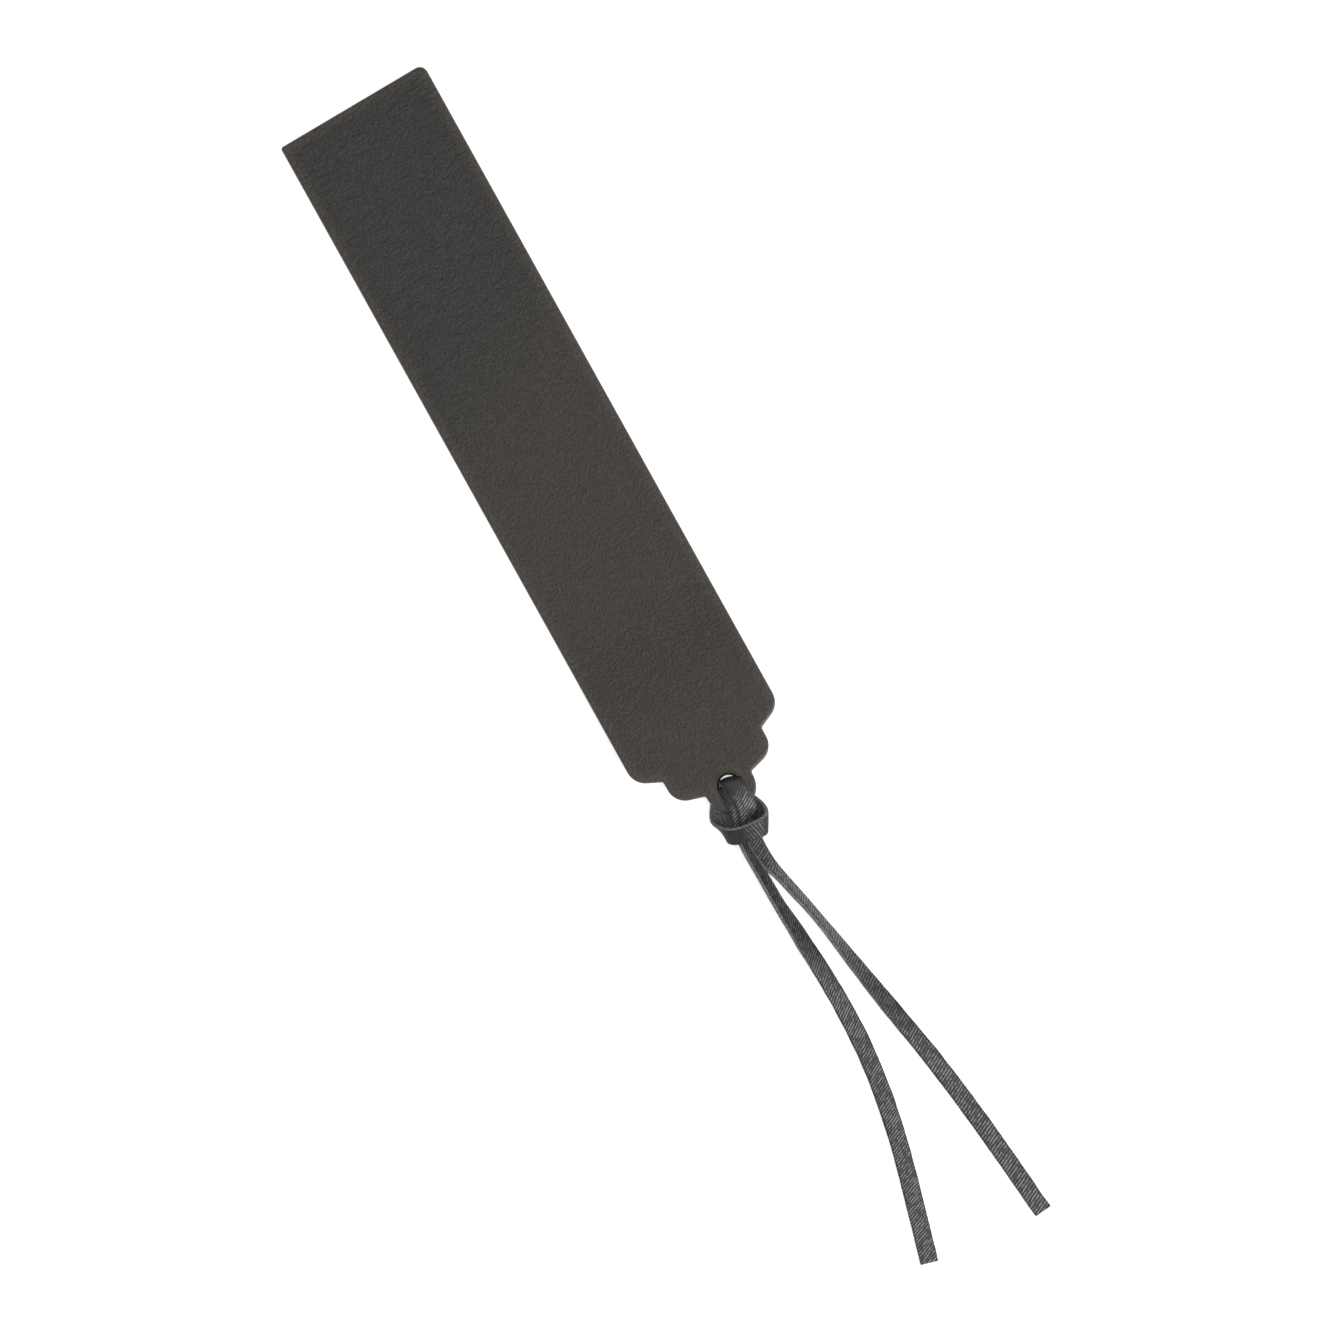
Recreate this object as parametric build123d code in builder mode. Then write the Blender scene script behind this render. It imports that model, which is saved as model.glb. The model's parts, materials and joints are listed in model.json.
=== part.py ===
from build123d import *
import os
from math import atan, cos, hypot, pi, radians, sin, tan

os.makedirs("parts", exist_ok=True)

# A leather bookmark lying face up on a table. A long strip steps in at its lower end to a
# small punched tab, and a flat leather lace is hitched through the tab's hole: the loop of
# the hitch comes round from behind the tab as a collar, and the two tails run out under it.
# Millimetres. +Z is up, +Y runs to the strip's square top end, and the origin is on the
# table, under the middle of the strip's length.

# Strip
STRIP_WIDTH = 38.0
STRIP_LENGTH = 184.7
STRIP_THICKNESS = 1.4
TOP_SKEW = 1.6  # degrees that the top edge is cut out of square
TOP_LEFT_RADIUS = 0.5
TOP_RIGHT_RADIUS = 2.0

# Scalloped end, from the tab outwards
TAB_RADIUS = 5.95
TAB_NECK = 0.85  # straight side of the tab above its round end
LOBE_SHARE = 0.533  # of the way out from the tab's side to the strip's side, to the lobe's side
LOBE_ROUND = 0.66  # share of the lobe's step out that its round corner takes
LOBE_SLOPE = 16.0  # degrees that the rest of the step slopes down to the tab
LOBE_NECK = 2.15  # straight side of the lobe above its round corner
SHOULDER_ROUND = 0.77
SHOULDER_SLOPE = 25.0
NOTCH_RADIUS = 0.7
HOLE_INSET = 6.65  # from the tip of the tab to the middle of the hole
HOLE_CLEARANCE = 0.25  # between the hole and the corners of the lace in it

# The strip lies flat on the table and bends up to ride over the lace behind the tab
BEND_LENGTH = 34.0
RAISED_LENGTH = 22.4  # level stretch from the bend to the tip

# Lace
LACE_WIDTH = 4.2
LACE_THICKNESS = 1.0
LAY_GAP = 0.15  # between layers of lace and leather

# Hitch: the strands on the tab, and the two soft folds that bring the loop to the front.
# Each fold is placed by the middle of its axis, which runs to the front at an angle to +X
LEFT_STRAND_SHIFT = -0.45  # sideways, where the strand comes over the leather
RIGHT_STRAND_SHIFT = 0.9
STRAND_WAY = [0.24, 0.52]  # two places under the collar, as shares of the way from tip to exit
STRAND_ROLL = [18, 40]  # degrees that the strands are turned at those places
LEFT_STRAND_STEP = [(0.3, 0.6), (0.68, 0.92)]  # shares of the way across and down to the exit
RIGHT_STRAND_STEP = [(0.35, 0.36), (1.0, 0.84)]
LEFT_FOLD_X = -4.85
LEFT_FOLD_DROP = 1.74  # below the tip of the tab
LEFT_FOLD_AXIS = -74.0
LEFT_FOLD_SLANT = 40.0  # degrees that the lace crosses the axis out of square
RIGHT_FOLD_X = 0.95
RIGHT_FOLD_DROP = 3.29
RIGHT_FOLD_AXIS = -125.5
RIGHT_FOLD_SLANT = 33.0
FOLD_LIFT = 0.25  # the right fold starts this far above its leg, with its corners off the table
LEG_TURN = 0.4  # share of the left leg in which it turns towards its fold
COLLAR_GAP = 1.0  # between the tails and the collar's front wall

# Exit of the tails under the collar
EXIT_DROP = 8.0  # from the tip of the tab to where the tails leave the collar
EXIT_ROLL = 62.0  # degrees that the tails are turned on edge there
RIGHT_EXIT_X = -0.5
EXIT_GAP = 0.16  # between the two tails there
PIVOT_GAP = 0.15  # round the ends where one stretch of lace turns on the next

# Tails, as places from each tail's exit. The neck is still turning from on edge to flat, with
# its roll in degrees as the third number, and the rest lies flat from its bend to its cut end
LEFT_NECK_ROUTE = [(0, -3.5, EXIT_ROLL), (0.17, -8.7, 58), (0.22, -13.7, 42), (0.55, -18.7, 16)]
RIGHT_NECK_ROUTE = [(0, -3.5, EXIT_ROLL), (0.56, -8.7, 58), (1.77, -13.7, 44), (2.95, -18.7, 16)]
LEFT_TAIL_ROUTE = [
    (0.9, -23.65),
    (1.8, -39.15),
    (1.3, -55.65),
    (-1.7, -74.15),
    (-5.7, -89.65),
    (-9.5, -103.65),
]
RIGHT_TAIL_ROUTE = [
    (4.0, -23.65),
    (7.2, -42.95),
    (11.25, -64.15),
    (14.05, -85.65),
    (16.0, -105.95),
]

SPARE = 5.0  # blanks and cutters stand this far past what they make

# Levels of the middle of each layer of lace, from the table up
leg_low = LACE_THICKNESS / 2
layer_pitch = LACE_THICKNESS + LAY_GAP
leg_high = leg_low + layer_pitch
tab_bottom = leg_high + LACE_THICKNESS / 2 + LAY_GAP
tab_top = tab_bottom + STRIP_THICKNESS
strand_low = tab_top + LAY_GAP + LACE_THICKNESS / 2
strand_high = strand_low + layer_pitch
exit_height = LACE_WIDTH * sin(radians(EXIT_ROLL)) + LACE_THICKNESS * cos(radians(EXIT_ROLL))
collar_z = exit_height + COLLAR_GAP + LACE_THICKNESS / 2


def scallop_y(notch_x, notch_y, side_x, radius, slope):
    """Where the middle of a scallop's round lies, above a straight slope up from its notch."""
    slope_end_x = side_x - radius + radius * sin(radians(slope))
    slope_rise = (slope_end_x - notch_x) * tan(radians(slope))
    return notch_y + slope_rise + radius * cos(radians(slope))


# Places along the strip
top_y = STRIP_LENGTH / 2
tip_y = -STRIP_LENGTH / 2
tab_y = tip_y + TAB_RADIUS
lobe_end_y = tab_y + TAB_NECK
lobe_step = LOBE_SHARE * (STRIP_WIDTH / 2 - TAB_RADIUS)
lobe_side = TAB_RADIUS + lobe_step
lobe_radius = LOBE_ROUND * lobe_step
lobe_y = scallop_y(TAB_RADIUS, lobe_end_y, lobe_side, lobe_radius, LOBE_SLOPE)
shoulder_end_y = lobe_y + LOBE_NECK
shoulder_radius = SHOULDER_ROUND * (STRIP_WIDTH / 2 - lobe_side)
shoulder_y = scallop_y(lobe_side, shoulder_end_y, STRIP_WIDTH / 2, shoulder_radius, SHOULDER_SLOPE)
hole_y = tip_y + HOLE_INSET
hole_radius = hypot(LACE_WIDTH / 2, layer_pitch / 2 + LACE_THICKNESS / 2) + HOLE_CLEARANCE

# The lace turns through the hole in two half rounds, one inside the other
turn_z = (leg_high + strand_low) / 2
inner_turn = (strand_low - leg_high) / 2
outer_turn = inner_turn + layer_pitch
turn_y = hole_y - layer_pitch / 2 - inner_turn

# The tails at the exit, side by side and turned on edge
exit_y = tip_y - EXIT_DROP
root_radius = (LACE_WIDTH * cos(radians(EXIT_ROLL)) + LACE_THICKNESS * sin(radians(EXIT_ROLL))) / 2
socket_radius = root_radius + PIVOT_GAP
left_exit_x = RIGHT_EXIT_X - 2 * root_radius - EXIT_GAP

# Leather strip
bend_angle = 2 * atan(tab_bottom / BEND_LENGTH)
bend_radius = BEND_LENGTH / (2 * sin(bend_angle))
bend_end_y = tip_y + RAISED_LENGTH
bend_start_y = bend_end_y + BEND_LENGTH
skew_rise = STRIP_WIDTH / 2 * tan(radians(TOP_SKEW))


def side_line(level):
    """The strip's side line at a level above its back face, from the top end to the tip."""
    bend_arc = bend_angle * 180 / pi
    flat = Line((top_y + SPARE, level), (bend_start_y, level))
    rise = JernArc(flat @ 1, flat % 1, bend_radius, -bend_arc)
    ease = JernArc(rise @ 1, rise % 1, bend_radius, bend_arc)
    raised = Line(ease @ 1, (tip_y - SPARE, tab_bottom + level))
    return [flat, rise, ease, raised]


def corner(sketch, x, y):
    """The corner of a sketch that is nearest to a place."""
    return sketch.vertices().sort_by_distance((x, y, 0))[0]


with BuildPart() as leather_strip:
    with BuildSketch(Plane.YZ):
        with BuildLine():
            back = side_line(0)
            front = side_line(STRIP_THICKNESS)
            Line(back[0] @ 0, front[0] @ 0)
            Line(back[-1] @ 1, front[-1] @ 1)
        make_face()
    extrude(amount=STRIP_WIDTH / 2 + SPARE, both=True)
    with BuildSketch() as outline:
        with BuildLine():
            tab = CenterArc((0, tab_y), TAB_RADIUS, -90, 90)
            lobe = CenterArc(
                (lobe_side - lobe_radius, lobe_y), lobe_radius, LOBE_SLOPE - 90, 90 - LOBE_SLOPE
            )
            shoulder = CenterArc(
                (STRIP_WIDTH / 2 - shoulder_radius, shoulder_y),
                shoulder_radius,
                SHOULDER_SLOPE - 90,
                90 - SHOULDER_SLOPE,
            )
            Polyline(tab @ 1, (TAB_RADIUS, lobe_end_y), lobe @ 0)
            Polyline(lobe @ 1, (lobe_side, shoulder_end_y), shoulder @ 0)
            mirror(about=Plane.YZ)
            Polyline(
                (STRIP_WIDTH / 2, shoulder_y),
                (STRIP_WIDTH / 2, top_y + skew_rise),
                (-STRIP_WIDTH / 2, top_y - skew_rise),
                (-STRIP_WIDTH / 2, shoulder_y),
            )
        make_face()
        fillet(corner(outline, -STRIP_WIDTH / 2, top_y), TOP_LEFT_RADIUS)
        fillet(corner(outline, STRIP_WIDTH / 2, top_y), TOP_RIGHT_RADIUS)
        fillet([corner(outline, x, shoulder_end_y) for x in (-lobe_side, lobe_side)], NOTCH_RADIUS)
        fillet([corner(outline, x, lobe_end_y) for x in (-TAB_RADIUS, TAB_RADIUS)], NOTCH_RADIUS)
        with Locations((0, hole_y)):
            Circle(hole_radius, mode=Mode.SUBTRACT)
    extrude(amount=tab_top + SPARE, mode=Mode.INTERSECT)
leather_strip.part.label = "leather_strip"
export_step(leather_strip.part, "parts/leather_strip.step")


# The lace is drawn through stations: planes square to it, with X across its width
def station(point, width, run):
    """A station at a point, from about the way its width points and the way the lace runs."""
    width = Vector(*width)
    run = Vector(*run).normalized()
    return Plane(origin=point, x_dir=width - run * run.dot(width), z_dir=run)


def turn_stations(radius, shift, way):
    """Stations round the hole's edge and a little on: up out of the hole to the front where the
    way is 1, and down to the back where it is -1, shifting sideways as they go."""
    stations = []
    for angle in range(0, 91, 15):
        out = cos(radians(angle))
        up = sin(radians(angle))
        point = (shift * (1 - out) ** 3, turn_y + radius * out, turn_z + way * radius * up)
        stations.append(station(point, (-way, 0, 0), (0, -up, way * out)))
    stations.append(stations[-1].offset(LACE_THICKNESS / 2))
    return stations


def fold_stations(middle, axis_angle, slant, low, side):
    """Stations of a soft fold round a level axis, from a low level behind up to the collar in
    front. The side is 1 for the left fold and -1 for the right one."""
    axis = Vector(1, 0, 0).rotate(Axis.Z, axis_angle)
    inward = axis.rotate(Axis.Z, side * 90)
    up = Vector(0, 0, 1)
    radius = (collar_z - low) / 2
    along = sin(radians(slant))
    across = cos(radians(slant))
    stations = []
    for angle in range(-90, 91, 15):
        lift = sin(radians(angle))
        reach = cos(radians(angle))
        advance = radius * radians(angle) * tan(radians(slant))
        round_axis = (up * lift - inward * reach) * radius
        point = Vector(*middle, collar_z - radius) + axis * advance + round_axis
        winding = inward * lift + up * reach
        width = (axis * across - winding * along) * side
        stations.append(station(point, width, axis * along + winding * across))
    return stations


def rolled(roll):
    """Width direction of a lace that runs down the strip, its left edge lifted by roll degrees."""
    return (-cos(radians(roll)), 0, sin(radians(roll)))


def resting_z(roll):
    """Height of the middle of a rolled lace whose lower edge is on the table."""
    return (LACE_WIDTH * sin(radians(roll)) + LACE_THICKNESS * cos(radians(roll))) / 2


def stations_along(points, rolls, last_run):
    """Stations through points down the strip. Each is square to the slope from the point before
    it to the next, and none turns sideways but the last one."""
    points = [Vector(*point) for point in points]
    runs = [Vector(0, -1, 0)]
    for before, after in zip(points, points[2:]):
        runs.append(Vector(0, after.Y - before.Y, after.Z - before.Z))
    runs.append(Vector(*last_run))
    return [station(point, rolled(roll), run) for point, roll, run in zip(points, rolls, runs)]


# The loop of the hitch: both its ends go from the hole down behind the tab and out to a fold,
# which brings them to the front, where they meet across the tails as the collar
left_fold = fold_stations(
    (LEFT_FOLD_X, tip_y - LEFT_FOLD_DROP), LEFT_FOLD_AXIS, LEFT_FOLD_SLANT, leg_high, 1
)
right_fold = fold_stations(
    (RIGHT_FOLD_X, tip_y - RIGHT_FOLD_DROP), RIGHT_FOLD_AXIS, RIGHT_FOLD_SLANT, leg_low + FOLD_LIFT, -1
)
left_end = turn_stations(inner_turn, 0, -1)
right_end = turn_stations(outer_turn, 0, -1)
leg_run = left_fold[0].origin - left_end[-1].origin
left_leg = station(left_end[-1].origin + leg_run * LEG_TURN, left_fold[0].x_dir, leg_run)
with BuildPart() as hitch_loop:
    for stretch in (
        left_end + [left_leg] + left_fold,
        [left_fold[-1], right_fold[-1].rotated((0, 180, 0))],
        right_end + right_fold,
    ):
        for plane in stretch:
            with BuildSketch(plane):
                Rectangle(LACE_WIDTH, LACE_THICKNESS)
        loft(ruled=True)
hitch_loop.part.label = "hitch_loop"
export_step(hitch_loop.part, "parts/hitch_loop.step")

# The two strands on the front of the tab: up out of the hole, over the leather to its tip, and
# down under the collar, turning on edge as they reach the exit
tip_stand = tip_y - LACE_THICKNESS / 2
exit_z = resting_z(EXIT_ROLL)
exit_overlap = exit_y + root_radius / 2


def strand_stations(turn, exit_x, steps):
    """Stations of a strand from the end of its turn to the exit."""
    start = turn[-1].origin
    points = [start, (start.X, tip_stand, start.Z)]
    for way, (aside, down) in zip(STRAND_WAY, steps):
        x = start.X + (exit_x - start.X) * aside
        y = tip_stand + (exit_y - tip_stand) * way
        z = start.Z + (exit_z - start.Z) * down
        points.append((x, y, z))
    points.append((exit_x, exit_overlap, exit_z))
    return stations_along(points, [0, 0, *STRAND_ROLL, EXIT_ROLL], (0, -1, 0))


for name, turn_radius, shift, exit_x, steps in (
    ("left_strand", inner_turn, LEFT_STRAND_SHIFT, left_exit_x, LEFT_STRAND_STEP),
    ("right_strand", outer_turn, RIGHT_STRAND_SHIFT, RIGHT_EXIT_X, RIGHT_STRAND_STEP),
):
    turn = turn_stations(turn_radius, shift, 1)
    with BuildPart() as strand:
        for stretch in (turn, strand_stations(turn, exit_x, steps)):
            for plane in stretch:
                with BuildSketch(plane):
                    Rectangle(LACE_WIDTH, LACE_THICKNESS)
            loft(ruled=True)
        with Locations((exit_x, exit_y, exit_z)):
            Cylinder(socket_radius, exit_height + SPARE, mode=Mode.SUBTRACT)
    strand.part.label = name
    export_step(strand.part, f"parts/{name}.step")


def tail_points(exit_x, route):
    """A tail's points on its middle line, half a thickness above the table."""
    return [Vector(exit_x + x, exit_y + y, leg_low) for x, y in route]


def tail_radii(points):
    """The largest radius that each bend of a tail has room for."""
    radii = []
    for before, point, after in zip(points, points[1:], points[2:]):
        half_turn = radians((point - before).get_angle(after - point)) / 2
        shorter = min((point - before).length, (after - point).length)
        radii.append(0.45 * shorter / tan(half_turn))
    return radii


# The neck of each tail, from the collar's exit to the bend where the tail lies flat. It turns
# from on edge to flat as it goes, and its root is round, to swing in the strand's end
def neck_stations(exit_x, neck_route, tail_route):
    """Stations of a neck, from its root to just short of the tail's bend."""
    bend, beyond = tail_points(exit_x, tail_route)[:2]
    heading = (beyond - bend).normalized()
    points = [(exit_x, exit_y + root_radius, exit_z)]
    rolls = [EXIT_ROLL]
    for x, y, roll in neck_route:
        points.append((exit_x + x, exit_y + y, resting_z(roll)))
        rolls.append(roll)
    points.append(bend - heading * (LACE_THICKNESS / 2 + PIVOT_GAP))
    rolls.append(0)
    return stations_along(points, rolls, heading)


for name, exit_x, neck_route, tail_route in (
    ("left_neck", left_exit_x, LEFT_NECK_ROUTE, LEFT_TAIL_ROUTE),
    ("right_neck", RIGHT_EXIT_X, RIGHT_NECK_ROUTE, RIGHT_TAIL_ROUTE),
):
    with BuildPart() as neck:
        for plane in neck_stations(exit_x, neck_route, tail_route):
            with BuildSketch(plane):
                Rectangle(LACE_WIDTH, LACE_THICKNESS)
        loft(ruled=True)
        with BuildSketch():
            with Locations((exit_x, exit_y)):
                Circle(root_radius)
                Rectangle(4 * LACE_WIDTH, SPARE - tail_route[0][1], align=(Align.CENTER, Align.MAX))
        extrude(amount=exit_height + SPARE, mode=Mode.INTERSECT)
    neck.part.label = name
    export_step(neck.part, f"parts/{name}.step")

# The free tails, flat on the table, each with a round root along its bend
for name, exit_x, route in (
    ("left_tail", left_exit_x, LEFT_TAIL_ROUTE),
    ("right_tail", RIGHT_EXIT_X, RIGHT_TAIL_ROUTE),
):
    points = tail_points(exit_x, route)
    heading = (points[1] - points[0]).normalized()
    across = heading.cross(Vector(0, 0, 1))
    with BuildPart() as tail:
        with BuildLine():
            middle_line = FilletPolyline(*points, radius=tail_radii(points))
        with BuildSketch(Plane(origin=points[0], x_dir=across, z_dir=heading)):
            Rectangle(LACE_WIDTH, LACE_THICKNESS)
        sweep()
        swept_share = tail.part.volume / (LACE_WIDTH * LACE_THICKNESS * middle_line.length)
        with BuildSketch(Plane(origin=points[0], x_dir=(0, 0, 1), z_dir=across)):
            Circle(LACE_THICKNESS / 2)
        extrude(amount=LACE_WIDTH / 2, both=True)
    tail.part.label = name
    export_step(tail.part, f"parts/{name}.step")
    print(name, "radii", [round(radius) for radius in tail_radii(points)], "mm")
    print(name, "length", round(middle_line.length, 1), "mm, volume over section", round(swept_share, 4))
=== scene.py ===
import json
from math import ceil, cos, pi, radians, sin, tan

import bmesh
import bpy
from mathutils import Vector, geometry, kdtree, noise
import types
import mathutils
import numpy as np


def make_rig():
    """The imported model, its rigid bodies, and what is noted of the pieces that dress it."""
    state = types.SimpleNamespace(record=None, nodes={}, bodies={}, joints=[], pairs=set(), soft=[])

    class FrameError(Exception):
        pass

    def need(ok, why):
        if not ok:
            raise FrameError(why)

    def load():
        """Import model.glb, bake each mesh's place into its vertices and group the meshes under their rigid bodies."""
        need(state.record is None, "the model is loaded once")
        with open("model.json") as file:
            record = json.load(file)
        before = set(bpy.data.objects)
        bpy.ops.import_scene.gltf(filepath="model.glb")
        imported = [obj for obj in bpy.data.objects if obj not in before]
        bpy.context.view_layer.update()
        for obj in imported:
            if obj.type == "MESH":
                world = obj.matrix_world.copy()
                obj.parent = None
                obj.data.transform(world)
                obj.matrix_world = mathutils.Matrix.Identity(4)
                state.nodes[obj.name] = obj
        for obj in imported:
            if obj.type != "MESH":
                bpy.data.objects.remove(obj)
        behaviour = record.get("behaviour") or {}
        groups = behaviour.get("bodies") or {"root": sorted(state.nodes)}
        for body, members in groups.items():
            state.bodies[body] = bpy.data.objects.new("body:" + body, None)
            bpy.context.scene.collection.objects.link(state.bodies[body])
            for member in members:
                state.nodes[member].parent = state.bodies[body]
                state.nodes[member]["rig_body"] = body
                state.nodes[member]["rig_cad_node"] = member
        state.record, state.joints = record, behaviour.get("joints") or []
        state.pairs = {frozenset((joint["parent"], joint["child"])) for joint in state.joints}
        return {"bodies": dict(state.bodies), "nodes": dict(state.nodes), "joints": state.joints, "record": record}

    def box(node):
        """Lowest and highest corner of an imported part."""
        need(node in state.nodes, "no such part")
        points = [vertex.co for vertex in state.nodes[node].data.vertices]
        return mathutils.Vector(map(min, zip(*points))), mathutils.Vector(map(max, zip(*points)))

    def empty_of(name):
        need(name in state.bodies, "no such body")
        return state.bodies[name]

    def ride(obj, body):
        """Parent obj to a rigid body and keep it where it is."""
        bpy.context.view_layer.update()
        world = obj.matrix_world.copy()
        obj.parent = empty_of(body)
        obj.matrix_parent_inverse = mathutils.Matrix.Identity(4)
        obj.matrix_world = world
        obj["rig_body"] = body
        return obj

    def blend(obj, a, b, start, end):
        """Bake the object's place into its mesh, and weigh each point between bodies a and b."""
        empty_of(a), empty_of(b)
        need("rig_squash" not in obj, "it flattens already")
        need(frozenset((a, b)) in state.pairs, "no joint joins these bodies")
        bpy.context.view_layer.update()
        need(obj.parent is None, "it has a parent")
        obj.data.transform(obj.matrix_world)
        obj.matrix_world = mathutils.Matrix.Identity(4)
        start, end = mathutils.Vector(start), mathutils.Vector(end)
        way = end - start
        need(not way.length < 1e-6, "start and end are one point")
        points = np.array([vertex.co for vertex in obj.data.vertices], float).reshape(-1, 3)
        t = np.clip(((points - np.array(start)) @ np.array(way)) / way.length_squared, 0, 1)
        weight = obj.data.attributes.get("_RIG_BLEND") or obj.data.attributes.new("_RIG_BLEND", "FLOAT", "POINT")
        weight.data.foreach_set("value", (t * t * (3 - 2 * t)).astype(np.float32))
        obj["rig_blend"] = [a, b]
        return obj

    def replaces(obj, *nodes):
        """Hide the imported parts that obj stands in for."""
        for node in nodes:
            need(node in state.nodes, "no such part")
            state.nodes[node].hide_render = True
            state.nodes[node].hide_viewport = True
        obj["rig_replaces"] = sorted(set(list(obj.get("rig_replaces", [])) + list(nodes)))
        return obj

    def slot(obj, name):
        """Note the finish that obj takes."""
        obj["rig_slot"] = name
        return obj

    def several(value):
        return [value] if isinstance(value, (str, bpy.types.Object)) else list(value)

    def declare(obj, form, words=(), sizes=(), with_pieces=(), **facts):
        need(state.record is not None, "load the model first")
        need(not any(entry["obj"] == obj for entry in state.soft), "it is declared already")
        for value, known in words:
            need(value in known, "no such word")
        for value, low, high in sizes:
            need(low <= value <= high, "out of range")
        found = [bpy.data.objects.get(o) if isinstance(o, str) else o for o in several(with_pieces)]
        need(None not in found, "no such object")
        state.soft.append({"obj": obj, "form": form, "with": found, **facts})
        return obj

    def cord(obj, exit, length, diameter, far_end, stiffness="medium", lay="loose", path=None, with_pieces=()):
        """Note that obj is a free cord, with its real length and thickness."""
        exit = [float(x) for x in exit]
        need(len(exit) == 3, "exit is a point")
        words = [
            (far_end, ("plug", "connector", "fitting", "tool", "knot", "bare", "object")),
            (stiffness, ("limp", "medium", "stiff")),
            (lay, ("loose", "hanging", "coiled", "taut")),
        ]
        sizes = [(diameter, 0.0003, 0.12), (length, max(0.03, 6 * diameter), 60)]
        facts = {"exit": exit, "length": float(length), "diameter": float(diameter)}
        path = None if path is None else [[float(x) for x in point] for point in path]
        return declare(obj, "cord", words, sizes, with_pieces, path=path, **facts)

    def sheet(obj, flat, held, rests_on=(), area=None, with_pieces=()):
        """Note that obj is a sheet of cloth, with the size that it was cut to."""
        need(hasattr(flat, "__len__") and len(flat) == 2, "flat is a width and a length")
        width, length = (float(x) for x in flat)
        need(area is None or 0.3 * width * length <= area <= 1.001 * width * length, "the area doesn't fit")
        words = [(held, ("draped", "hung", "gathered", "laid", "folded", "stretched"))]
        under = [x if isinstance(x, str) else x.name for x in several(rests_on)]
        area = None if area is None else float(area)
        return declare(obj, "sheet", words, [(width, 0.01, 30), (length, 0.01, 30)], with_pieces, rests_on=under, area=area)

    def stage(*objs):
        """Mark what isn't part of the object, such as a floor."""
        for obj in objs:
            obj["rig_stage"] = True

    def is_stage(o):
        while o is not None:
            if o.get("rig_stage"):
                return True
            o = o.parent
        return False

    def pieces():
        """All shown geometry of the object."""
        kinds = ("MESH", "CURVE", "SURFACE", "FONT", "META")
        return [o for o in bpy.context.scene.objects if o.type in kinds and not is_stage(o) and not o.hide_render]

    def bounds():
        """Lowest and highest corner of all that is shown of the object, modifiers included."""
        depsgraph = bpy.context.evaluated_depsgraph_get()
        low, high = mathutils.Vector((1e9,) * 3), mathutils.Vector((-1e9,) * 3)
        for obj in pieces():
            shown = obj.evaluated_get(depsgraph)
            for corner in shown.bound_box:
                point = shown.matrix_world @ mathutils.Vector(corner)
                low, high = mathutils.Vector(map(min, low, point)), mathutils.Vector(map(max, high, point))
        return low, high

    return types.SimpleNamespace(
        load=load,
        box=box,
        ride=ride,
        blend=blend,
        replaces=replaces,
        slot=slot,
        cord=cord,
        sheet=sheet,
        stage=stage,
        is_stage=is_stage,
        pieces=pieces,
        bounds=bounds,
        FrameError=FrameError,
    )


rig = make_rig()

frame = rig.load()
cad_low, cad_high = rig.bounds()

# A dark leather bookmark, face up on a white table: a long strip with a scalloped end, and a flat
# leather lace hitched through its tab. Metres and degrees, in the frame of the solid model.

# Strip, as in the solid model
strip_low, strip_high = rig.box("leather_strip")
HALF_WIDTH = strip_high.x
TIP_Y = strip_low.y
TOP_Y = -TIP_Y
STRIP_THICKNESS = 0.0014
TOP_SKEW = 1.6
TOP_LEFT_RADIUS = 0.0007  # the cut corner is worn a little rounder than it was cut
TOP_RIGHT_RADIUS = 0.002
TAB_RADIUS = 0.00595
TAB_NECK = 0.00085
LOBE_SHARE = 0.533
LOBE_ROUND = 0.66
LOBE_SLOPE = 16
LOBE_NECK = 0.00215
SHOULDER_ROUND = 0.77
SHOULDER_SLOPE = 25
NOTCH_RADIUS = 0.0007
HOLE_INSET = 0.00665
HOLE_RADIUS = 0.00261
BEND_LENGTH = 0.034
RAISED_LENGTH = 0.0224
TAB_LIFT = strip_high.z - STRIP_THICKNESS

# Strip, its cut edge and its lie
FLAT_SIZE = (0.038, 0.1852)
FLAT_AREA = 0.00667
TOP_EDGE_ROUND = 0.00066
BACK_EDGE_ROUND = 0.00015
HOLE_EDGE_ROUND = 0.0002
HOLE_TAPER = 0.0004  # the punch left the hole this much tighter at the back
WAVE_HEIGHT = 0.00012
WAVE_LENGTH = 0.045
ARC_STEP = 0.00025
LEAST_ARC_STEPS = 5
RUN_STEP = 0.001
SHORTEST_RUN = ARC_STEP / 10  # places closer than this are one place
FRONT_TURN = 15  # degrees in a step round the front's edge
BACK_TURN = 30
NET_STEP = 0.0015
NET_CLEAR = 0.7 * NET_STEP  # a face's net of places stops this far from its cut edge
INSIDE_BORDER = 1  # delaunay_2d_cdt's word for triangles inside the border alone
MERGE_GAP = 1e-7
EDGE_REACH = 0.004  # how far in from the cut edge the leather is painted paler, as rubbed wear and a painted highlight of the lit edge

# Lace
LACE_WIDTH = 0.0042
LACE_THICKNESS = 0.001
GRAIN_CORNER = 0.0003
FLESH_CORNER = 0.00015
CROWN = 0.00005  # the grain face is this much higher along its middle
CUP = 0.0005  # the strands' edges are bent down this much in the hole
CUP_REACH = 0.014
LOOP_SKEW_REACH = 1.0  # the loop's sections follow its edges as they are
SKEW_REACH = 0.006  # past this length from the hole a strand's sections are square to it
EDGE_WAVER = 0.00013  # the knife wandered this much
WAVER_LENGTH = 0.005  # along the lace from one wander to the next
FUZZ_SHARE = 0.5  # the cut's loose fibres, as a share of the wander
FUZZ_LENGTH = 0.0007
FUZZ_DEPTH = 0.0005
WAVER_ROW = 7  # rows of the noise, so that wander and fuzz differ, and the two edges too
FUZZ_ROW = 3
GRAIN_PARTS = 4  # steps from the middle of the lace's face to its corner
FLESH_PARTS = 3
GRAIN_TURNS = (30, 60, 90)  # degrees round the corners of the lace's section
FLESH_TURNS = (0, 45, 90)
SLANTS = {"left": (28, 36), "right": (50, 20)}  # lean of the grain's lines, at the hole and past it
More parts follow.
